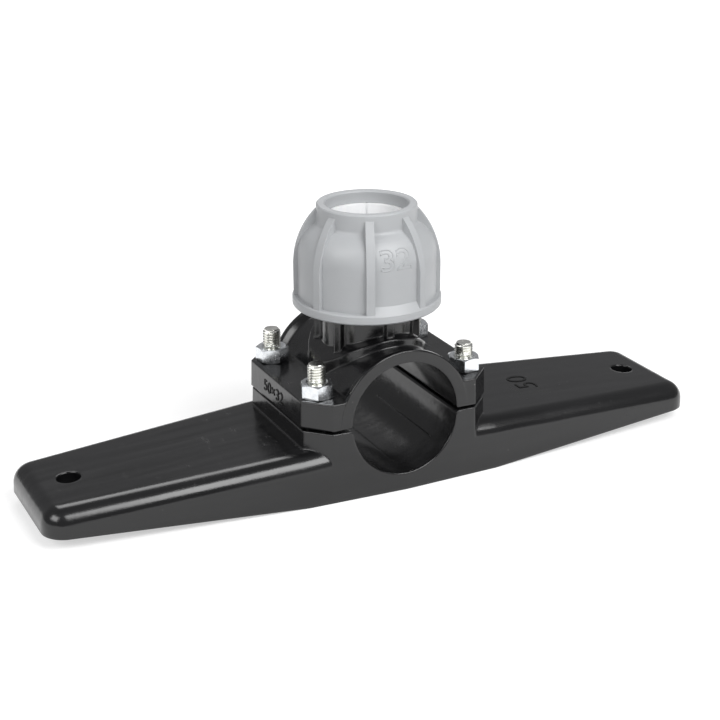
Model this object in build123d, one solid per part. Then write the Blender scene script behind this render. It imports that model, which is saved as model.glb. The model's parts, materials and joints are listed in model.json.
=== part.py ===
from build123d import *
import math
import os

# Tapping saddle for a 50 mm pipe, with a 32 mm compression branch and a two-wing ground base.
# Millimetres. Ground at Z = 0, pipe along Y, branch along +Z, wings along X.

# ---- pipe bore and clamp ----
bore_r = 25.2             # clamp bore, for a 50 mm pipe
half_length = 37.5        # half of the saddle's length along the pipe
floor_wall = 7.7          # plastic under the bore, down to the ground
clamp_gap = 1.5           # open gap between the two halves as assembled
base_drop = 1.6           # how far the base's top face lies under the pipe axis
lip_r = 1.6               # rounding of the bore's long edges at the gap
ridge_count = 3           # grip ridges along the lower bore
ridge_step = 48.0         # degrees between them
ridge_h = 0.08
ridge_w = 1.2
ridge_end = 11.5          # plain bore beyond each end of a ridge

# ---- clamp bolts and their nuts ----
bolt_r = 4.0
bolt_fit = 0.5            # clearance of the holes in the plastic
bolt_length = 45.0
bolt_out = 8.3            # bolt end above its nut
bolt_wall = 6.4           # plastic between the bore and a bolt, at the axis height
bolt_in = 13.4            # from a bolt to the end of the saddle
head_af = 13.0
head_h = 5.3
hex_nut_h = 6.5
hex_nut_fit = 0.05
pocket_fit = 0.25
pocket_wall = 2.6
corners = {               # side in X, side in Y, how far the bolt has sunk, turn of its nut
    "front_left": (-1, -1, 0.0, 34.0),
    "front_right": (1, -1, 2.3, 4.0),
    "back_left": (-1, 1, 0.0, 34.0),
    "back_right": (1, 1, 0.0, 20.0),
}

# ---- base: lower half and wings ----
base_half = 157.3         # half of the overall length
tip_half_width = 29.9     # half width of the plan at the wing's end
knee_out = 2.0            # from the block to the knee of the plan
knee_w_out = 0.6          # plan beyond the saddle's end face, at the knee and in the middle
mid_w_out = 2.3
knee_round = 30.0
tip_round = 9.8
side_draft = 2.0          # degrees
wing_tip_h = 16.9         # height of the wing's top at its end and at the block
wing_root_h = 22.9
wing_tip_lift = 5.8       # rise of the wing's underside to its end
wing_edge_r = 8.0
block_in = 0.9            # block narrower than the flange above it
base_wall = 3.6
roof = 4.0
rib = 2.6
cell_max = 32.0           # widest pitch of the cross ribs
keel_half = 15.0          # solid web under the bore
ground_hole_in = 18.6     # from a ground hole to the wing's end
ground_hole_r = 5.25
ground_boss_wall = 4.75

# ---- upper half ----
flange_rise = 11.8        # flange top above the pipe axis
flange_edge = 9.3         # from a bolt to the flange's side
flange_corner = 10.4
flange_draft = 1.5        # degrees
shell_wall = 3.1
collar_wall = 5.2
collar_w = 2.4
collar_run = 3.0          # length of the hollow from the collar to the shell
pad_r = 26.0
pad_wall = 6.5            # pad's crown above the bore

# ---- branch neck ----
socket_r = 16.2           # socket for the 32 mm branch pipe
socket_lift = 1.9         # pipe stop above the pad's crown
port_r = 12.5
neck_h = 28.4             # neck's top above the pad's crown
neck_wall = 4.1
neck_rib_out = 3.1
neck_rib_w = 3.6
neck_rib_count = 6
neck_rib_phase = 30.0     # degrees
thread_length = 16.0
crest_h = 1.2             # plain crest under the neck's end, on which the nut runs
thread_wall = 3.48        # plastic between the seal chamber and the thread's root
thread_depth = 1.3

# ---- seals, bush and grip ring ----
gasket_out = 2.9          # from the port to the gasket
gasket_w = 3.6
gasket_t = 2.4
gasket_fit = 0.05
wire = 3.9                # thickness of the O-ring
wire_fit = 0.06
bush_sink = 3.1           # depth of the bush in the neck
bush_t = 2.0
bush_rim_in = 1.3         # bush's flange inside the neck's outer edge
bush_bore_fit = 0.15
bush_side_fit = 0.1
ring_travel = 4.6         # free height between the bush and the grip ring
ring_bore_fit = 0.2
ring_h = 14.2
ring_slit = 0.6
ring_slit_turn = 64.0     # degrees
ring_lead = 6.0           # plain bore above the teeth
ring_teeth = 3
tooth_h = 0.7
cone_fit = 0.12

# ---- compression nut ----
nut_engage = 18.7         # neck inside the nut
nut_thread_fit = 0.1
nut_wall = 5.1            # panels outside the thread
rim_out = 2.5
rim_h = 4.2
nut_collar_wall = 3.8
nut_collar_h = 8.3
dome_round = 15.0         # arc of the panels, from the collar to where they stand upright
dome_foot = 2.0           # rounding between the collar and the panels
mouth_fit = 1.9           # mouth wider than the branch socket
lip_t = 5.4
lip_fit = 0.1
cone_step = 0.7
cone_flare = 3.5
nut_rib_count = 8
nut_rib_phase = 21.7      # degrees
nut_rib_w = 3.7
nut_rib_out = 1.9
nut_rib_round = 35.5      # arc of the ribs
nut_rib_gap = 2.7         # from the nut's top to the rib's start
plate_h = 3.2             # slanted plate above the rim, from one rib to the next
plate_sunk = 0.8
edge = 0.6                # small broken edges of the nut

# ---- derived: heights ----
axis_z = bore_r + floor_wall
base_top = axis_z - base_drop
upper_bottom = base_top + clamp_gap
flange_top = axis_z + flange_rise
bolt_top = flange_top + hex_nut_h + bolt_out
head_seat = bolt_top - bolt_length
crown_z = axis_z + bore_r + pad_wall
socket_stop = crown_z + socket_lift
neck_top = crown_z + neck_h
thread_z = neck_top - thread_length
seal_seat = neck_top - bush_sink - wire
bush_top = neck_top + bush_t
ring_z = bush_top + ring_travel
ring_top = ring_z + ring_h
lip_z = ring_top + lip_fit
cone_z = ring_z - 0.3
nut_top = lip_z + lip_t
nut_bottom = neck_top - nut_engage
rim_top = nut_bottom + rim_h
shoulder_z = nut_top - nut_collar_h
crest_z = neck_top - 1.5 * crest_h

# ---- derived: radii and places ----
shell_r = bore_r + shell_wall
collar_r = bore_r + collar_wall
pad_crown_r = bore_r + pad_wall
bolt_x = bore_r + bolt_wall + bolt_r
bolt_y = half_length - bolt_in
flange_half = bolt_x + flange_edge
block_half = flange_half - block_in
knee_x = block_half + knee_out
knee_half_width = half_length + knee_w_out
mid_half_width = half_length + mid_w_out
ground_hole_x = base_half - ground_hole_in
wing_slope = (wing_root_h - wing_tip_h) / (base_half - block_half)
deep = 4 * wing_root_h
neck_r = socket_r + neck_wall
neck_rib_r = neck_r + neck_rib_out
chamber_r = socket_r + wire + 2 * wire_fit
thread_root_r = chamber_r + thread_wall
thread_r = thread_root_r + thread_depth
nut_bore_r = thread_r + nut_thread_fit
panel_r = nut_bore_r + nut_wall
nut_rib_r = panel_r + nut_rib_out
rim_r = panel_r + rim_out
mouth_r = socket_r + mouth_fit
nut_collar_r = mouth_r + nut_collar_wall
cone_top_r = mouth_r + cone_step
cone_end_r = cone_top_r + cone_flare


# ------------------------------------------------------------------ helpers


def along_y(radius, length):
    """Cylinder on the pipe axis, centred on the branch."""
    return Pos(0, 0, axis_z) * Rot(90, 0, 0) * Cylinder(radius, length)


def upright(radius, z0, z1):
    """Cylinder on the branch axis between two heights."""
    return Pos(0, 0, z0) * extrude(Circle(radius), z1 - z0)


def turned(points):
    """Solid of revolution about the branch axis from a closed outline of radii and heights."""
    return revolve(make_face(Plane.XZ * Polyline(points, close=True)), Axis.Z)


def hexagon(across_flats, z0, z1, turn=0.0):
    """Hexagonal prism on the branch axis between two heights."""
    return Pos(0, 0, z0) * extrude(RegularPolygon(across_flats / math.sqrt(3), 6, rotation=turn), z1 - z0)


def cut_corners(half_x, half_y, corner):
    """Rectangle with its four corners cut off."""
    return chamfer(Rectangle(2 * half_x, 2 * half_y).vertices(), corner)


def at_corners(shape):
    """The same shape at each of the four clamp bolts."""
    return [Pos(sx * bolt_x, sy * bolt_y, 0) * shape for sx, sy, _, _ in corners.values()]


def bolt_holes():
    """Clearance holes for the clamp bolts."""
    return at_corners(upright(bolt_r + bolt_fit, 0, bolt_top))


def soften_lips(body, height, radius):
    """Round the bore's long edges at one face of the gap."""
    near = [e for e in body.edges().filter_by(Axis.Y) if abs(e.center().Z - height) < 0.01]
    return fillet([e for e in near if abs(e.center().X) < bore_r + 0.5], radius)


# ------------------------------------------------------------------ base


def base_outline(inset=0.0):
    """Long hexagon plan of the base, widest at the middle."""
    quarter = [(knee_x, -knee_half_width), (base_half, -tip_half_width)]
    right = quarter + [(x, -y) for x, y in reversed(quarter)]
    left = [(-x, -y) for x, y in right]
    points = [(0, -mid_half_width)] + right + [(0, mid_half_width)] + left
    face = make_face(Polyline(points, close=True))
    face = fillet([v for v in face.vertices() if abs(abs(v.X) - knee_x) < 0.01], knee_round)
    face = fillet([v for v in face.vertices() if abs(abs(v.X) - base_half) < 0.01], tip_round)
    return offset(face, -inset, kind=Kind.INTERSECTION) if inset else face


def wing_side(start, drop=0.0):
    """Side view of the +X wing, its top and underside sloping to the end."""
    root = wing_tip_h + wing_slope * (base_half - start) - drop
    foot = [(start, 0), (knee_x, 0), (base_half + 1, wing_tip_lift)]
    outline = Polyline(foot + [(base_half + 1, wing_tip_h - drop), (start, root)], close=True)
    return extrude(make_face(Plane.XZ * outline), 2 * mid_half_width, both=True)


def wing():
    """The wing on +X, its top edges rounded into the sides."""
    body = extrude(base_outline(), base_top, taper=side_draft) & wing_side(keel_half)
    top = body.faces().filter_by(lambda f: f.normal_at().Z > 0.9).sort_by(Axis.Z)[-1]
    rim = [e for e in top.edges() if e.center().X > keel_half + 1]
    return fillet(rim, wing_edge_r)


def block():
    """Lower half of the clamp: a column with cut corners on the base's plan."""
    spread = base_top * math.tan(math.radians(side_draft))
    beyond = mid_half_width + 10
    corner = flange_corner - block_in + beyond - half_length + spread * (2 * math.sqrt(2) - 2)
    cutter = extrude(cut_corners(block_half + spread, beyond + spread, corner), base_top, taper=side_draft)
    return extrude(base_outline(), base_top, taper=side_draft) & cutter


def underside_ribs():
    """Long and cross ribs left in the hollow underside."""
    width = 2 * mid_half_width
    cage = Box(2 * base_half, rib, deep) + Box(2 * keel_half, width, deep)
    cells = math.ceil((ground_hole_x - block_half) / cell_max)
    pitch = (ground_hole_x - block_half) / cells
    for side in (-1, 1):
        for i in range(cells + 1):
            cage += Pos(side * (block_half + i * pitch), 0, 0) * Box(rib, width, deep)
        for row in (-1, 1):
            run = Line((0, row * mid_half_width / 2), (side * base_half, row * tip_half_width / 2))
            cage += extrude(make_face(trace(run, rib).wire()), deep / 2, both=True)
    return cage


def underside_hollow():
    """Space under the wings, between the walls, the ribs and the bosses."""
    side = wing_side(0, roof)
    room = extrude(base_outline(base_wall), base_top, taper=side_draft) & (side + mirror(side, Plane.YZ))
    room -= along_y(bore_r + base_wall, 3 * half_length)
    room -= underside_ribs()
    pocket_r = (head_af / 2 + pocket_fit) / math.cos(math.pi / 6)
    for boss in at_corners(upright(pocket_r + pocket_wall, 0, deep)):
        room -= boss
    for sx in (-1, 1):
        room -= Pos(sx * ground_hole_x, 0, 0) * upright(ground_hole_r + ground_boss_wall, 0, deep)
    return room


def head_pockets():
    """Hexagonal pockets that keep the bolt heads from turning."""
    pocket_r = (head_af / 2 + pocket_fit) / math.cos(math.pi / 6)
    return at_corners(extrude(RegularPolygon(pocket_r, 6, rotation=30), head_seat))


def grip_ridges():
    """Low ridges along the lower bore, one at its foot."""
    sunk = 0.5
    bar = Box(ridge_w, 2 * (half_length - ridge_end), ridge_h + sunk)
    bar = Pos(0, 0, -bore_r + (ridge_h - sunk) / 2) * bar
    turns = [(i - (ridge_count - 1) / 2) * ridge_step for i in range(ridge_count)]
    return [Pos(0, 0, axis_z) * Rot(0, turn, 0) * bar for turn in turns]


def make_base():
    """Lower half of the clamp in one moulding with the two wings."""
    one = wing()
    body = block() + one + mirror(one, Plane.YZ) - underside_hollow()
    body = soften_lips(body - along_y(bore_r, 4 * half_length), base_top, lip_r)
    for hole in bolt_holes() + head_pockets():
        body -= hole
    for sx in (-1, 1):
        body -= Pos(sx * ground_hole_x, 0, 0) * upright(ground_hole_r, 0, deep)
    for bar in grip_ridges():
        body += bar
    return body


# ------------------------------------------------------------------ upper half


def flange():
    """Clamp flange with cut corners."""
    plan = Pos(0, 0, upper_bottom) * cut_corners(flange_half, half_length, flange_corner)
    return extrude(plan, flange_top - upper_bottom, taper=flange_draft)


def shell():
    """Half cylinder over the pipe with a raised collar at each end."""
    y2 = half_length - collar_w
    y3 = y2 - collar_run
    half = [(0, -half_length), (collar_r, -half_length), (collar_r, -y2), (shell_r, -y3)]
    face = make_face(Polyline(half + [(x, -y) for x, y in reversed(half)], close=True))
    soft = [v for v in face.vertices() if abs(abs(v.Y) - y2) < 0.01]
    round_shell = Pos(0, 0, axis_z) * revolve(fillet(soft, collar_w / 2), Axis.Y)
    size = 2 * collar_r + 2 * half_length
    return round_shell & Pos(0, 0, upper_bottom + size / 2) * Box(size, size, size)


def thread_zone():
    """Top of the neck at the thread's root, with one plain crest."""
    return upright(thread_root_r, thread_z, neck_top) + upright(thread_r, crest_z, crest_z + crest_h)


def neck():
    """Branch neck on its round pad, with ribs up to the thread."""
    foot = axis_z + bore_r / 2
    pad = upright(pad_r, axis_z, crown_z + 1) & along_y(pad_crown_r, 4 * pad_r)
    bar = Pos(neck_rib_r / 2, 0, (foot + thread_z) / 2) * Box(neck_rib_r, neck_rib_w, thread_z - foot)
    stem = upright(neck_r, foot, thread_z)
    for i in range(neck_rib_count):
        stem += Rot(0, 0, neck_rib_phase + i * 360 / neck_rib_count) * bar
    return pad + (stem & upright(neck_rib_r, foot, thread_z)) + thread_zone()


def gasket_band(fit):
    """Band round the port that follows the pipe's curve."""
    in_r = port_r + gasket_out
    out_r = in_r + gasket_w
    band = upright(out_r + fit, axis_z, crown_z) - upright(in_r - fit, axis_z, crown_z)
    return band & along_y(bore_r + gasket_t + fit, 4 * out_r)


def make_upper():
    """Upper half of the clamp with the branch neck."""
    body = flange() + shell() + neck() - along_y(bore_r, 4 * half_length)
    body = soften_lips(body, upper_bottom, lip_r / 2)
    body -= upright(port_r, axis_z, nut_top)
    body -= upright(socket_r, socket_stop, nut_top)
    body -= upright(chamber_r, seal_seat, nut_top)
    body -= gasket_band(gasket_fit)
    for hole in bolt_holes():
        body -= hole
    return body


def make_gasket():
    """Ring seal between the upper half and the pipe."""
    return gasket_band(0) - along_y(bore_r, 4 * half_length)


def make_o_ring():
    """Seal round the branch pipe."""
    eight = RegularPolygon(wire / 2, 8, major_radius=False, rotation=22.5)
    section = Pos(socket_r + wire_fit + wire / 2, 0, 0) * eight
    return Pos(0, 0, seal_seat + wire / 2) * revolve(Plane.XZ * section, Axis.Z)


def make_bush():
    """Flanged bush that presses the O-ring."""
    inner = socket_r + bush_bore_fit
    outer = chamber_r - bush_side_fit
    rim = thread_root_r - bush_rim_in
    foot = neck_top - bush_sink
    stem = [(inner, foot), (outer, foot), (outer, neck_top)]
    return turned(stem + [(rim, neck_top), (rim, bush_top), (inner, bush_top)])


def cone_r(z, fit):
    """Inner cone of the nut at a height, less a clearance."""
    return cone_top_r + cone_flare * (lip_z - z) / (lip_z - cone_z) - fit


def make_grip_ring():
    """Split cone ring with teeth that bite the branch pipe."""
    tip = socket_r + ring_bore_fit
    root = tip + tooth_h
    pitch = (ring_h - ring_lead) / ring_teeth
    points = [(cone_r(ring_z, cone_fit), ring_z), (cone_r(ring_top, cone_fit), ring_top)]
    points += [(tip + 0.3, ring_top)]
    for i in range(ring_teeth):
        z = ring_top - ring_lead - i * pitch
        points += [(tip, z), (root, z - 0.3)]
    ring = turned(points + [(root, ring_z)])
    far = cone_r(ring_z, 0)
    slit = Pos(far, 0, (ring_z + ring_top) / 2) * Box(2 * far, ring_slit, 2 * ring_h)
    return ring - Rot(0, 0, ring_slit_turn) * slit


# ------------------------------------------------------------------ compression nut


def upright_arc(radius, out_r, in_r, top):
    """Arc of a profile that ends at a top point and stands upright at its foot."""
    turn = math.acos(1 - (out_r - in_r) / radius)
    return JernArc((out_r, top - radius * math.sin(turn)), (0, 1), radius, math.degrees(turn))


def nut_shell():
    """Turned body of the nut: rim, dome, collar and the hollow inside."""
    dome = upright_arc(dome_round, panel_r, nut_collar_r, shoulder_z)
    skirt = [(nut_bore_r + 1.3, nut_bottom), (rim_r - edge, nut_bottom), (rim_r, nut_bottom + edge)]
    skirt += [(rim_r, rim_top - edge), (rim_r - edge, rim_top), (panel_r, rim_top), dome @ 0]
    crown = [dome @ 1, (nut_collar_r, nut_top - edge), (nut_collar_r - edge, nut_top)]
    crown += [(mouth_r + edge, nut_top), (mouth_r, nut_top - edge)]
    hollow = [(mouth_r, lip_z), (cone_top_r, lip_z), (cone_end_r, cone_z), (nut_bore_r, cone_z)]
    hollow += [(nut_bore_r, nut_bottom + 1.3), (nut_bore_r + 1.3, nut_bottom)]
    face = make_face(Polyline(skirt) + dome + Polyline(crown + hollow))
    shoulder = [v for v in face.vertices() if abs(v.X - nut_collar_r) + abs(v.Y - shoulder_z) < 0.01]
    return revolve(Plane.XZ * fillet(shoulder, dome_foot), Axis.Z)


def nut_ribs():
    """Arched grip ribs from the collar down to the rim."""
    start_z = nut_top - nut_rib_gap
    arch = upright_arc(nut_rib_round, nut_rib_r, nut_collar_r + 0.2, start_z)
    sunk_r = panel_r - nut_wall / 3
    back = [(nut_collar_r - 1, start_z), (nut_collar_r - 1, shoulder_z), (sunk_r, shoulder_z - dome_round / 2)]
    back += [(sunk_r, rim_top - edge), (nut_rib_r, rim_top - edge), arch @ 0]
    one = extrude(Plane.XZ * make_face(arch + Polyline(arch @ 1, *back)), nut_rib_w / 2, both=True)
    return [Rot(0, 0, nut_rib_phase + i * 360 / nut_rib_count) * one for i in range(nut_rib_count)]


def rim_plate():
    """Bare slanted plate between two ribs, from the rim up to the panel."""
    low = rim_top - plate_sunk
    high = rim_top + plate_h
    outline = [(panel_r - 1, low), (rim_r, low), (panel_r, high), (panel_r - 1, high)]
    face = make_face(Plane.XZ * Polyline(outline, close=True))
    step = 360 / nut_rib_count
    return Rot(0, 0, nut_rib_phase + 5 * step) * revolve(face, Axis.Z, step)


def make_nut():
    """Compression nut with its ribs and rim plate."""
    body = nut_shell() + rim_plate()
    for one in nut_ribs():
        body += one
    return body


# ------------------------------------------------------------------ fasteners


def make_bolt(sunk):
    """Hexagon bolt standing in its pocket, thread drawn plain."""
    seat = head_seat - sunk
    return hexagon(head_af, seat - head_h, seat, 30) + upright(bolt_r, seat - head_h / 2, seat + bolt_length)


def make_hex_nut(turn):
    """Hexagon nut on the flange."""
    top = flange_top + hex_nut_h
    return hexagon(head_af, flange_top, top, turn) - upright(bolt_r + hex_nut_fit, flange_top, top)


parts = {
    "base": make_base(),
    "upper_saddle": make_upper(),
    "saddle_gasket": make_gasket(),
    "socket_o_ring": make_o_ring(),
    "thrust_bush": make_bush(),
    "grip_ring": make_grip_ring(),
    "compression_nut": make_nut(),
}
for place, (sx, sy, sunk, turn) in corners.items():
    spot = Pos(sx * bolt_x, sy * bolt_y, 0)
    parts["bolt_" + place] = spot * make_bolt(sunk)
    parts["hex_nut_" + place] = spot * make_hex_nut(turn)

os.makedirs("parts", exist_ok=True)
for name, shape in parts.items():
    export_step(shape, "parts/" + name + ".step")
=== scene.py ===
import json
import math

import bmesh
import bpy
from mathutils import Matrix, Vector
from mathutils.bvhtree import BVHTree


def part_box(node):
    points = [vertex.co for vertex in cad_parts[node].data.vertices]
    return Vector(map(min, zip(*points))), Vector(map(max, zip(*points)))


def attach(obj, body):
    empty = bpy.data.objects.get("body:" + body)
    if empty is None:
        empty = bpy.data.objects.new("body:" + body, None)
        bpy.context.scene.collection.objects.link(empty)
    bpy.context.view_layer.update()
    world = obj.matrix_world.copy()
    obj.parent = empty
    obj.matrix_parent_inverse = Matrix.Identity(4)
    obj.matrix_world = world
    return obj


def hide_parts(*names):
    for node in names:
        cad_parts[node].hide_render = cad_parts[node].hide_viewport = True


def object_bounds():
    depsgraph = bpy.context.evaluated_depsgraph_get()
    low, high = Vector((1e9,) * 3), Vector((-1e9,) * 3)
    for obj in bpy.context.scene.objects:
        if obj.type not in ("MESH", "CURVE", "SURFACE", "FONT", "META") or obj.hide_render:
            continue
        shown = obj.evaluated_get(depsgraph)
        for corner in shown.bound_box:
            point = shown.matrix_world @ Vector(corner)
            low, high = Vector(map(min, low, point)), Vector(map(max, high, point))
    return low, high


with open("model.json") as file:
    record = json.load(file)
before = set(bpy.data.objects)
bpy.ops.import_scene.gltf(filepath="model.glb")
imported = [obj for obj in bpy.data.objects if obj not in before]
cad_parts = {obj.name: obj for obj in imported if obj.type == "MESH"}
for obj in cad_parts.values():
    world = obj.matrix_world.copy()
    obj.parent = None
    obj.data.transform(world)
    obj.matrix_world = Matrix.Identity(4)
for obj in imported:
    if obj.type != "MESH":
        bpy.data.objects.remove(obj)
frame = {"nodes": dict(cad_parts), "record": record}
cad_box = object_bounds()

MM = 0.001
mounts = {m["name"]: m for m in frame["record"]["mounts"]}
pipe_centre = Vector(mounts["pipe_bore"]["pos_m"])
bore_r = mounts["pipe_bore"]["dims"]["r_mm"] * MM
socket_r = mounts["branch_socket"]["dims"]["r_mm"] * MM
places = ["front_left", "front_right", "back_left", "back_right"]

# ---------------------------------------------------------------- sizes, in metres

camera_side = -26.3       # azimuth and elevation of the camera, degrees
camera_height = 22.2
camera_roll = -0.18
camera_distance = 0.7046
aim_right = -0.0031       # where the camera looks, beside and above the pipe's centre
aim_up = 0.0126
focal_mm = 78.4
sensor_mm = 36

lamps = [                 # name, azimuth and elevation in degrees, distance, size, watts
    ("soft_box", 20, 44, 1.0, (0.73, 0.56), 10.0),
    ("left_box", -72, 35, 1.2, (0.7, 0.5), 6.0),
    ("back_box", 170, 52, 1.2, (0.7, 0.5), 4.0),
]
room_colour = (0.27, 0.27, 0.275, 1)
floor_half = 10
floor_gap = 0.1 * MM

round_steps = 96          # points round a nut or a bolt head
shank_steps = 48          # points in a turn of a thread
helix_steps = 72

bolt_r = 4 * MM           # M8
thread_pitch = 1.25 * MM
thread_depth = 0.77 * MM
thread_length = 22 * MM
thread_rows = [(0.0, 0.0), (0.16, 0.0), (0.46, 1.0), (0.68, 1.0)]  # share of the pitch, share of the depth
tip_cut = 0.9 * MM
head_h = 5.3 * MM
shank_sunk = 0.4 * MM     # how far the shank reaches into its head

half_flats = 6.5 * MM     # of the nuts and the bolt heads
round_r = 0.96 * half_flats  # round face from which the corners slope away
head_slope = 0.5          # rise of that slope over its run
nut_slope = 0.58
hole_r = bolt_r + 0.05 * MM
hole_sink = 0.7 * MM
nut_turns = {"front_left": 10, "front_right": 6, "back_left": 34, "back_right": 20}  # of a corner, degrees

neck_root_r = 23.7 * MM   # the neck's thread under the compression nut
neck_crest_r = 24.95 * MM
neck_sunk = 0.3 * MM
neck_pitch = 4 * MM
neck_foot, neck_land = 0.27, 0.1  # half width of the thread at its foot and crest, share of the pitch
neck_thread = (77.4 * MM, 90.6 * MM)

digit_share = 0.7         # height of a digit over the font's size
line_r = 0.28 * MM        # half thickness of the outlined digits on the compression nut
stroke_h = 0.25 * MM      # height of the solid digits on the black parts
ray_start = 15 * MM       # how far off a surface its digits start before they are laid on it

numbers = {               # text, height, widening, thickening
    "branch_size": ("32", 8.7 * MM, 1.2, 0.12 * MM),
    "saddle_size": ("50\u00d732", 5.2 * MM, 1.12, 0.0),
    "pipe_size": ("50", 10.5 * MM, 1.15, -0.2 * MM),
}
nut_number_turn = 268.3   # place of the nut's number, degrees round the branch
nut_number_tilt = 15
nut_number_r = 29 * MM
nut_number_z = 101 * MM
side_number_at = (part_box("upper_saddle")[0][0], 1.8 * MM, 38.4 * MM)
wing_number_at = (82.3 * MM, 0.5 * MM, 20 * MM)
wing_number_up = (-1, 0, 0.05)  # along the wing's slope, towards the clamp

ridge_turns = (-138, -90, -42)  # grip ridges along the lower bore, degrees
ridge_w = 0.55 * MM
ridge_h = 0.14 * MM       # the knobs too stay inside the 0.2 mm left round a 50 mm pipe
knob_rise = 1.4           # height of a knob over its ridge's
ridge_reach = 26 * MM
ridge_sunk = 0.3 * MM

web_turn = 64             # web in the grip ring's slit, degrees round the branch
web_half = 0.3 * MM
web_inner_r = socket_r + 0.55 * MM
web_depth = 1.5 * MM
web_below, web_above = 1 * MM, 0.1 * MM  # how far it stops short of the ring's ends


# ---------------------------------------------------------------- material helpers


def new_material(name):
    """Empty material with its shader, and the tree that its graph goes into."""
    mat = bpy.data.materials.new(name)
    mat.use_nodes = True
    tree = mat.node_tree
    return mat, tree, tree.nodes["Principled BSDF"]


def add(tree, kind, links=(), **values):
    """New node.

    values set its attributes or, by socket name, its inputs. links are (input, output socket).
    """
    node = tree.nodes.new(kind)
    for key, value in values.items():
        if hasattr(node, key):
            setattr(node, key, value)
        else:
            node.inputs[key.replace("_", " ")].default_value = value
    for name, socket in links:
        tree.links.new(node.inputs[name], socket)
    return node


def coordinates(tree, scale=(1, 1, 1)):
    """Object coordinates in metres, stretched by a scale."""
    source = add(tree, "ShaderNodeTexCoord").outputs["Object"]
    return add(tree, "ShaderNodeMapping", [("Vector", source)], Scale=scale).outputs["Vector"]


def noise(tree, scale, stretch=(1, 1, 1), detail=3.0, rough=0.55):
    """Noise value between 0 and 1, with features of about 1/scale metres."""
    where = coordinates(tree, stretch)
    made = add(tree, "ShaderNodeTexNoise", [("Vector", where)], Scale=scale, Detail=detail, Roughness=rough)
    return made.outputs["Fac"]


def ramp(tree, value, stops):
    """Colour ramp from (position, grey or colour) stops."""
    node = add(tree, "ShaderNodeValToRGB", [("Fac", value)])
    while len(node.color_ramp.elements) < len(stops):
        node.color_ramp.elements.new(0.5)
    for element, (at, colour) in zip(node.color_ramp.elements, stops):
        element.position = at
        element.color = (*colour, 1) if isinstance(colour, tuple) else (colour, colour, colour, 1)
    return node.outputs["Color"]


def math_node(tree, operation, a, b):
    """Value of an operation on two sockets."""
    return add(tree, "ShaderNodeMath", [(0, a), (1, b)], operation=operation).outputs[0]


def mix(tree, factor, below, colour):
    """Plain colour over a colour socket, by a factor socket."""
    node = add(tree, "ShaderNodeMix", data_type="RGBA")
    tree.links.new(node.inputs["Factor"], factor)
    tree.links.new(node.inputs[6], below)
    node.inputs[7].default_value = (*colour, 1)
    return node.outputs[2]


def bump(tree, height, strength, distance, before=None):
    """Bump from a height socket, on top of an earlier one."""
    links = [("Height", height)] + ([("Normal", before)] if before else [])
    return add(tree, "ShaderNodeBump", links, Strength=strength, Distance=distance).outputs["Normal"]


def soft_edges(tree, radius):
    """Normal that rounds every edge of a moulding by a small radius."""
    return add(tree, "ShaderNodeBevel", samples=8, Radius=radius).outputs["Normal"]


# ---------------------------------------------------------------- materials


def black_plastic():
    """Moulded black polypropylene: satin, with flow streaks, a fine grain, scuffs and specks of dust."""
    mat, tree, shader = new_material("black_plastic")
    cloud = noise(tree, 38, detail=4)
    flow = noise(tree, 9, stretch=(1, 26, 26), detail=5)
    patches = ramp(tree, cloud, [(0.3, (0.0032, 0.0032, 0.0035)), (0.7, (0.0052, 0.0052, 0.0056))])
    bands = ramp(tree, flow, [(0.35, 0.0), (0.65, 0.8)])
    colour = mix(tree, bands, patches, (0.0080, 0.0080, 0.0086))
    specks = add(tree, "ShaderNodeTexVoronoi", [("Vector", coordinates(tree))], Scale=210)
    dust = ramp(tree, specks.outputs["Distance"], [(0.0, 1.0), (0.025, 1.0), (0.04, 0.0)])
    rare = ramp(tree, noise(tree, 45, detail=1), [(0.56, 0.0), (0.62, 1.0)])
    dusty = mix(tree, math_node(tree, "MULTIPLY", dust, rare), colour, (0.30, 0.29, 0.27))
    tree.links.new(shader.inputs["Base Color"], dusty)
    satin = ramp(tree, flow, [(0.25, 0.14), (0.75, 0.24)])
    scratches = noise(tree, 160, stretch=(1, 0.35, 1), detail=6, rough=0.7)
    scuffs = ramp(tree, scratches, [(0.60, 0.0), (0.72, 0.6)])
    tree.links.new(shader.inputs["Roughness"], mix(tree, scuffs, satin, (0.42, 0.42, 0.42)))
    grain = bump(tree, noise(tree, 1300, detail=2), 0.10, 0.00010, soft_edges(tree, 1.5 * MM))
    waves = bump(tree, noise(tree, 60, detail=2), 0.10, 0.0010, grain)
    tree.links.new(shader.inputs["Normal"], bump(tree, flow, 0.05, 0.0015, waves))
    shader.inputs["IOR"].default_value = 1.55
    return mat


def mark_black():
    """Matt black of the digits' small raised faces."""
    mat, tree, shader = new_material("mark_black")
    colour = ramp(tree, noise(tree, 300), [(0.3, 0.004), (0.7, 0.007)])
    tree.links.new(shader.inputs["Base Color"], colour)
    tree.links.new(shader.inputs["Roughness"], ramp(tree, noise(tree, 500), [(0.3, 0.5), (0.7, 0.65)]))
    shader.inputs["IOR"].default_value = 1.35
    return mat


def grey_plastic():
    """Moulded light grey polypropylene: soft gloss, slightly cloudy."""
    mat, tree, shader = new_material("grey_plastic")
    cloud = noise(tree, 30, detail=4)
    colour = ramp(tree, cloud, [(0.3, (0.362, 0.371, 0.381)), (0.7, (0.398, 0.409, 0.419))])
    tree.links.new(shader.inputs["Base Color"], colour)
    tree.links.new(shader.inputs["Roughness"], ramp(tree, noise(tree, 90), [(0.3, 0.40), (0.7, 0.50)]))
    grain = bump(tree, noise(tree, 1300, detail=2), 0.10, 0.0001, soft_edges(tree, 0.4 * MM))
    tree.links.new(shader.inputs["Normal"], bump(tree, noise(tree, 70, detail=2), 0.08, 0.001, grain))
    shader.inputs["Subsurface Weight"].default_value = 0.08
    shader.inputs["Subsurface Radius"].default_value = (0.0012, 0.0012, 0.0012)
    return mat


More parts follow.
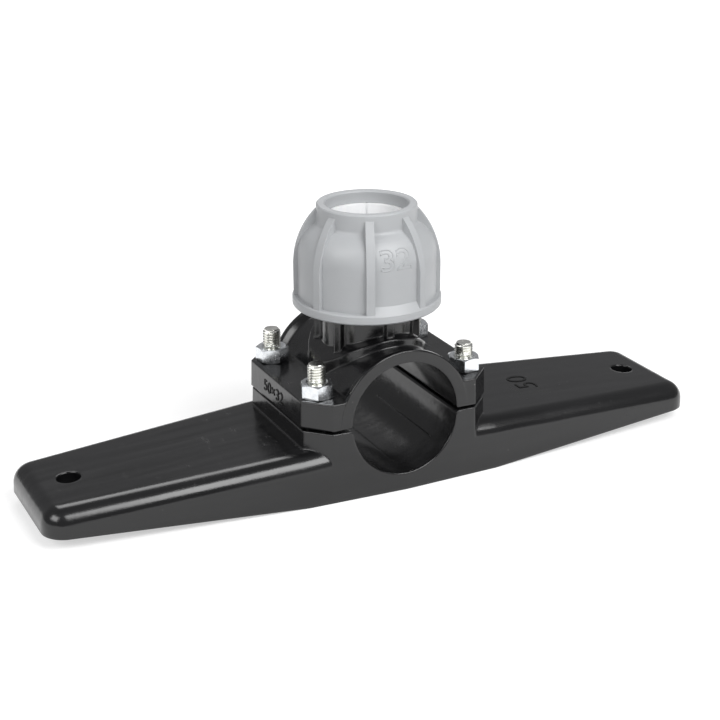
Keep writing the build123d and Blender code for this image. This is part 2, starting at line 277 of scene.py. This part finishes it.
def white_plastic():
    """Moulded white acetal of the grip ring, with faint upright draw marks."""
    mat, tree, shader = new_material("white_plastic")
    marks = noise(tree, 300, stretch=(1, 1, 0.05), detail=3)
    colour = ramp(tree, marks, [(0.3, (0.79, 0.80, 0.81)), (0.7, (0.85, 0.85, 0.855))])
    tree.links.new(shader.inputs["Base Color"], colour)
    tree.links.new(shader.inputs["Roughness"], ramp(tree, noise(tree, 200), [(0.3, 0.3), (0.7, 0.42)]))
    tree.links.new(shader.inputs["Normal"], bump(tree, marks, 0.10, 0.0001, soft_edges(tree, 0.3 * MM)))
    return mat


def zinc_steel(name, dull, bright):
    """Zinc-plated steel: bright, cloudy, with a few duller patches."""
    mat, tree, shader = new_material(name)
    cloud = noise(tree, 380, detail=6, rough=0.65)
    tree.links.new(shader.inputs["Base Color"], ramp(tree, cloud, [(0.34, dull), (0.54, bright)]))
    satin = ramp(tree, noise(tree, 600, detail=4), [(0.3, 0.16), (0.7, 0.28)])
    tree.links.new(shader.inputs["Roughness"], satin)
    tree.links.new(shader.inputs["Normal"], bump(tree, noise(tree, 420, detail=3), 0.02, 0.0001))
    shader.inputs["Metallic"].default_value = 1.0
    return mat


def seal_rubber():
    """Black nitrile rubber."""
    mat, tree, shader = new_material("seal_rubber")
    colour = ramp(tree, noise(tree, 200), [(0.3, 0.012), (0.7, 0.02)])
    tree.links.new(shader.inputs["Base Color"], colour)
    tree.links.new(shader.inputs["Roughness"], ramp(tree, noise(tree, 400), [(0.3, 0.5), (0.7, 0.65)]))
    tree.links.new(shader.inputs["Normal"], bump(tree, noise(tree, 2000), 0.15, 0.0001))
    return mat


def floor_white():
    """Floor that keeps the shadow, and that the camera, gloss and glass see as white."""
    mat, tree, shader = new_material("floor_white")
    cloud = noise(tree, 3, detail=2)
    tree.links.new(shader.inputs["Base Color"], ramp(tree, cloud, [(0.3, 0.49), (0.7, 0.51)]))
    shader.inputs["Roughness"].default_value = 0.9
    shader.inputs["Specular IOR Level"].default_value = 0.0
    path = add(tree, "ShaderNodeLightPath").outputs
    seen = math_node(tree, "ADD", path["Is Camera Ray"], path["Is Glossy Ray"])
    seen = math_node(tree, "ADD", seen, path["Is Transmission Ray"])
    away = add(tree, "ShaderNodeVectorMath", [(0, coordinates(tree))], operation="LENGTH").outputs["Value"]
    lift = ramp(tree, away, [(0.1, 0.52), (0.25, 0.70), (0.5, 0.88), (0.9, 1.0)])
    shader.inputs["Emission Color"].default_value = (1, 1, 1, 1)
    tree.links.new(shader.inputs["Emission Strength"], math_node(tree, "MULTIPLY", seen, lift))
    return mat


# ---------------------------------------------------------------- pieces


def link(obj):
    """Put an object into the scene."""
    bpy.context.scene.collection.objects.link(obj)
    return obj


def new_object(name, bm, material, smooth=True):
    """Turn a bmesh into an object with one material."""
    bmesh.ops.recalc_face_normals(bm, faces=bm.faces)
    mesh = bpy.data.meshes.new(name)
    bm.to_mesh(mesh)
    bm.free()
    if smooth:
        mesh.shade_smooth()
    mesh.materials.append(material)
    return link(bpy.data.objects.new(name, mesh))


def keep_edges(obj, degrees):
    """Keep the edges sharp whose faces turn by more than an angle."""
    obj.data.set_sharp_from_angle(angle=math.radians(degrees))


def bridge(bm, rings, closed):
    """Faces between neighbouring rings of equal length, each ring closed or open."""
    count = len(rings[0])
    for lower, upper in zip(rings, rings[1:]):
        for i in range(count if closed else count - 1):
            j = (i + 1) % count
            bm.faces.new((lower[i], lower[j], upper[j], upper[i]))


def polar_shell(bm, centre, profile, turn=0.0):
    """Closed skin from a list of rings. Each ring gives a radius and a height at an angle."""
    rings = []
    for ring in profile:
        made = []
        for i in range(round_steps):
            a = turn + 2 * math.pi * i / round_steps
            r, z = ring(a)
            made.append(bm.verts.new((centre.x + r * math.cos(a), centre.y + r * math.sin(a), z)))
        rings.append(made)
    bridge(bm, rings, closed=True)
    return rings


def flat_ring(r, z):
    """Round ring of one radius and height."""
    return lambda a: (r, z)


def hex_ring(z, turn=0.0, slope=0.0):
    """Hexagonal ring. Outside the round face its height changes by the slope."""
    def ring(a):
        from_flat = (a - turn) % (math.pi / 3) - math.pi / 6
        r = half_flats / math.cos(from_flat)
        return r, z + slope * (r - round_r)
    return ring


def thread_point(row, a, start, top):
    """Radius and height on a bolt's shank. Rows follow the helix, four of them to a pitch."""
    whole, part = divmod(row, len(thread_rows))
    share, depth = thread_rows[part]
    z = start + thread_pitch * (whole + share + a / (2 * math.pi))
    z = min(top, max(start, z))
    fade = min(1.0, (z - start) / thread_pitch)
    return min(bolt_r - thread_depth * depth * fade, bolt_r - tip_cut + top - z), z


def threaded_shank(bm, centre, seat, top):
    """Round shank from the head to the tip, with a right-hand thread on its upper part."""
    start = top - thread_length
    first = -len(thread_rows)
    last = int(thread_length / thread_pitch + 1) * len(thread_rows)
    grid = []
    for row in range(first - 1, last + 1):
        made = []
        for i in range(shank_steps + 1):
            a = 2 * math.pi * i / shank_steps
            r, z = thread_point(row, a, start, top)
            z = seat if row < first else z
            made.append(bm.verts.new((centre.x + r * math.cos(a), centre.y + r * math.sin(a), z)))
        grid.append(made)
    bridge(bm, grid, closed=False)
    bmesh.ops.remove_doubles(bm, verts=bm.verts, dist=2e-6)
    bmesh.ops.dissolve_degenerate(bm, edges=bm.edges, dist=2e-6)
    bmesh.ops.holes_fill(bm, edges=[e for e in bm.edges if e.is_boundary], sides=0)


def bolt_piece(place, material):
    """Bolt with its real thread and a chamfered head, in the place of the plain CAD one."""
    node = "bolt_" + place
    lo, hi = (Vector(corner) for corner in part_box(node))
    centre = (lo + hi) / 2
    seat = lo.z + head_h
    bm = bmesh.new()
    threaded_shank(bm, centre, seat - shank_sunk, hi.z)
    head = [flat_ring(round_r, lo.z), hex_ring(lo.z, slope=head_slope), hex_ring(seat)]
    rings = polar_shell(bm, centre, head)
    bm.faces.new(rings[-1])
    bm.faces.new(rings[0])
    obj = new_object("threaded_" + node, bm, material)
    keep_edges(obj, 35)
    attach(obj, "base")
    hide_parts(node)


def hex_nut_piece(place, material):
    """Hexagon nut with chamfered corners and a countersunk hole, in the place of the plain CAD one."""
    node = "hex_nut_" + place
    lo, hi = (Vector(corner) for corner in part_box(node))
    turn = math.radians(nut_turns[place])
    sunk_r = hole_r + hole_sink
    under = [flat_ring(hole_r, lo.z + hole_sink), flat_ring(sunk_r, lo.z), flat_ring(round_r, lo.z)]
    sides = [hex_ring(lo.z, turn, head_slope), hex_ring(hi.z, turn, -nut_slope)]
    over = [flat_ring(round_r, hi.z), flat_ring(sunk_r, hi.z), flat_ring(hole_r, hi.z - hole_sink)]
    bm = bmesh.new()
    polar_shell(bm, (lo + hi) / 2, under + sides + over + under[:1], turn)
    bmesh.ops.remove_doubles(bm, verts=bm.verts, dist=1e-7)
    obj = new_object("chamfered_" + node, bm, material)
    keep_edges(obj, 25)
    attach(obj, node)
    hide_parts(node)


def neck_thread_piece(material):
    """Helical thread round the neck's top, which shows when the compression nut is unscrewed."""
    bm = bmesh.new()
    bottom, top = neck_thread
    turns = (top - bottom) / neck_pitch
    count = int(turns * helix_steps)
    run_out = 12
    deep_r = neck_root_r - neck_sunk
    section = [(deep_r, -neck_foot), (neck_crest_r, -neck_land)]
    section += [(neck_crest_r, neck_land), (deep_r, neck_foot)]
    rings = []
    for i in range(count + 1):
        a = 2 * math.pi * turns * i / count
        grow = min(1.0, i / run_out, (count - i) / run_out)
        ring = []
        for r, up in section:
            reach = deep_r + (r - deep_r) * grow
            z = bottom + neck_pitch * (a / (2 * math.pi) + up)
            ring.append(bm.verts.new((reach * math.cos(a), reach * math.sin(a), z)))
        rings.append(ring)
    bridge(bm, rings, closed=True)
    bmesh.ops.remove_doubles(bm, verts=bm.verts, dist=1e-7)
    obj = new_object("neck_thread", bm, material)
    keep_edges(obj, 40)
    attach(obj, "upper")


def text_mesh(name, outlined):
    """Flat mesh of one of the numbers about the origin, either outlined by thin rods or solid."""
    text, height, widen, bolder = numbers[name]
    curve = bpy.data.curves.new("text", "FONT")
    curve.body = text
    curve.align_x, curve.align_y = "CENTER", "CENTER"
    curve.size = height / digit_share
    curve.resolution_u = 4
    curve.offset = bolder
    if outlined:
        curve.fill_mode = "NONE"
        curve.bevel_depth, curve.bevel_resolution = line_r, 1
    else:
        curve.extrude = stroke_h
    flat = link(bpy.data.objects.new("text", curve))
    mesh = bpy.data.meshes.new_from_object(flat.evaluated_get(bpy.context.evaluated_depsgraph_get()))
    bpy.data.objects.remove(flat)
    for v in mesh.vertices:
        v.co.x *= widen
    return mesh


def lay_on(mesh, node, origin, right, up):
    """Lay a flat mesh on a node's surface, seen with its right and up directions."""
    surface = BVHTree.FromObject(frame["nodes"][node], bpy.context.evaluated_depsgraph_get())
    right, up = Vector(right).normalized(), Vector(up).normalized()
    out = right.cross(up)
    for v in mesh.vertices:
        above = Vector(origin) + right * v.co.x + up * v.co.y + out * ray_start
        hit = surface.ray_cast(above, -out)[0]
        v.co = hit + out * v.co.z


def digits_piece(name, mesh, material, body):
    """Object from a laid mesh of digits, riding on a body."""
    mesh.materials.clear()
    mesh.materials.append(material)
    obj = link(bpy.data.objects.new(name, mesh))
    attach(obj, body)


def nut_digits(material):
    """Pipe size of the branch on one panel of the compression nut."""
    a, tilt = math.radians(nut_number_turn), math.radians(nut_number_tilt)
    radial, along = Vector((math.cos(a), math.sin(a), 0)), Vector((-math.sin(a), math.cos(a), 0))
    up = Vector((0, 0, math.cos(tilt))) - radial * math.sin(tilt)
    mesh = text_mesh("branch_size", outlined=True)
    lay_on(mesh, "compression_nut", radial * nut_number_r + Vector((0, 0, nut_number_z)), along, up)
    mesh.shade_smooth()
    digits_piece("branch_size", mesh, material, "compression_nut")


def saddle_digits(material):
    """Pipe sizes on the flange's left side and on the right wing."""
    side = text_mesh("saddle_size", outlined=False)
    lay_on(side, "upper_saddle", side_number_at, (0, -1, 0), (0, 0, 1))
    digits_piece("saddle_size", side, material, "upper")
    top = text_mesh("pipe_size", outlined=False)
    lay_on(top, "base", wing_number_at, (0, 1, 0), wing_number_up)
    digits_piece("pipe_size", top, material, "base")


def block(bm, near, far, side, up):
    """Box along a line, tapered a little towards its top. side is half its width, up its height."""
    rows = []
    for end in (near, far):
        corners = (end - side, end + side, end + side * 0.8 + up, end - side * 0.8 + up)
        rows.append([bm.verts.new(corner) for corner in corners])
    bridge(bm, rows, closed=True)
    bm.faces.new(rows[0])
    bm.faces.new(rows[1])


def grip_ridge_piece(material):
    """Thin grip ridges along the lower bore, each with a small knob at its ends."""
    bm = bmesh.new()
    for degrees in ridge_turns:
        a = math.radians(degrees)
        outward = Vector((math.cos(a), 0, math.sin(a)))
        across = Vector((-math.sin(a), 0, math.cos(a))) * ridge_w / 2
        base = pipe_centre + outward * (bore_r + ridge_sunk)
        end = Vector((0, ridge_reach, 0))
        block(bm, base - end, base + end, across, -outward * (ridge_sunk + ridge_h))
        for knob in (-end, end):
            half = Vector((0, ridge_w, 0))
            rise = -outward * (ridge_sunk + knob_rise * ridge_h)
            block(bm, base + knob - half, base + knob + half, across * 2, rise)
    obj = new_object("bore_ridges", bm, material, smooth=False)
    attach(obj, "base")


def ring_web_piece(material):
    """Web that nearly closes the slit of the grip ring, as its squeezed ends do."""
    lo, hi = (Vector(corner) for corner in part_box("grip_ring"))
    a = math.radians(web_turn)
    outward = Vector((math.cos(a), math.sin(a), 0))
    side = Vector((-math.sin(a), math.cos(a), 0)) * web_half
    bm = bmesh.new()
    foot, head = (outward * web_inner_r + Vector((0, 0, z)) for z in (lo.z + web_below, hi.z - web_above))
    block(bm, foot, head, side, outward * web_depth)
    obj = new_object("ring_web", bm, material, smooth=False)
    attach(obj, "grip_ring")


# ---------------------------------------------------------------- stage, light and camera


def direction(side, height):
    """Unit vector towards an azimuth, counted from the front, and an elevation in degrees."""
    a, e = math.radians(side), math.radians(height)
    return Vector((math.sin(a) * math.cos(e), -math.cos(a) * math.cos(e), math.sin(e)))


def turned_to(place, target):
    """Rotation of a lamp or camera at a place that looks at a target."""
    return (target - place).to_track_quat("-Z", "Y")


def area_lamp(name, side, height, distance, size, power):
    """Soft box that looks at the pipe's centre."""
    light = bpy.data.lights.new(name, "AREA")
    light.shape = "RECTANGLE"
    light.size, light.size_y = size
    light.energy = power
    obj = link(bpy.data.objects.new(name, light))
    obj.location = pipe_centre + direction(side, height) * distance
    obj.rotation_euler = turned_to(obj.location, pipe_centre).to_euler()


def make_floor():
    """Plain floor just under the object."""
    bm = bmesh.new()
    bmesh.ops.create_grid(bm, x_segments=1, y_segments=1, size=floor_half)
    floor = new_object("floor", bm, floor_white(), smooth=False)
    floor.location.z = cad_box[0][2] - floor_gap


def make_lights():
    """A high soft box on the camera's side, weaker ones on the left and behind, and a dim room."""
    for lamp in lamps:
        area_lamp(*lamp)
    world = bpy.data.worlds.new("room")
    bpy.context.scene.world = world
    world.use_nodes = True
    shade = world.node_tree.nodes["Background"]
    shade.inputs["Color"].default_value = room_colour
    shade.inputs["Strength"].default_value = 1.0


def make_camera():
    """Camera at the photograph's angle, aimed a little off the pipe's centre."""
    a = math.radians(camera_side)
    back = direction(camera_side, camera_height)
    side = Vector((math.cos(a), math.sin(a), 0))
    aim = pipe_centre + side * aim_right + back.cross(side) * aim_up
    eye = pipe_centre + back * camera_distance
    look = turned_to(eye, aim).to_matrix() @ Matrix.Rotation(math.radians(camera_roll), 3, "Z")
    camera = link(bpy.data.objects.new("camera", bpy.data.cameras.new("camera")))
    camera.matrix_world = Matrix.Translation(eye) @ look.to_4x4()
    camera.data.lens = focal_mm
    camera.data.sensor_width = sensor_mm
    camera.data.clip_start, camera.data.clip_end = 0.01, 20
    bpy.context.scene.camera = camera


# ---------------------------------------------------------------- scene

black = black_plastic()
rubber = seal_rubber()
white = white_plastic()
grey = grey_plastic()
nut_steel = zinc_steel("zinc_steel", (0.70, 0.73, 0.76), (0.82, 0.84, 0.86))
bolt_steel = zinc_steel("zinc_steel_bolt", (0.74, 0.74, 0.69), (0.86, 0.86, 0.82))
mark = mark_black()

node_materials = {
    "base": black,
    "upper_saddle": black,
    "thrust_bush": black,
    "saddle_gasket": rubber,
    "socket_o_ring": rubber,
    "grip_ring": white,
    "compression_nut": grey,
}
for name, node_object in frame["nodes"].items():
    for slot in node_object.material_slots:
        slot.link = "OBJECT"
        slot.material = node_materials.get(name, nut_steel)

for corner in places:
    bolt_piece(corner, bolt_steel)
    hex_nut_piece(corner, nut_steel)
neck_thread_piece(black)
grip_ridge_piece(black)
ring_web_piece(white)
nut_digits(grey)
saddle_digits(mark)

make_floor()
make_lights()
make_camera()
bpy.context.scene.view_settings.view_transform = "Standard"
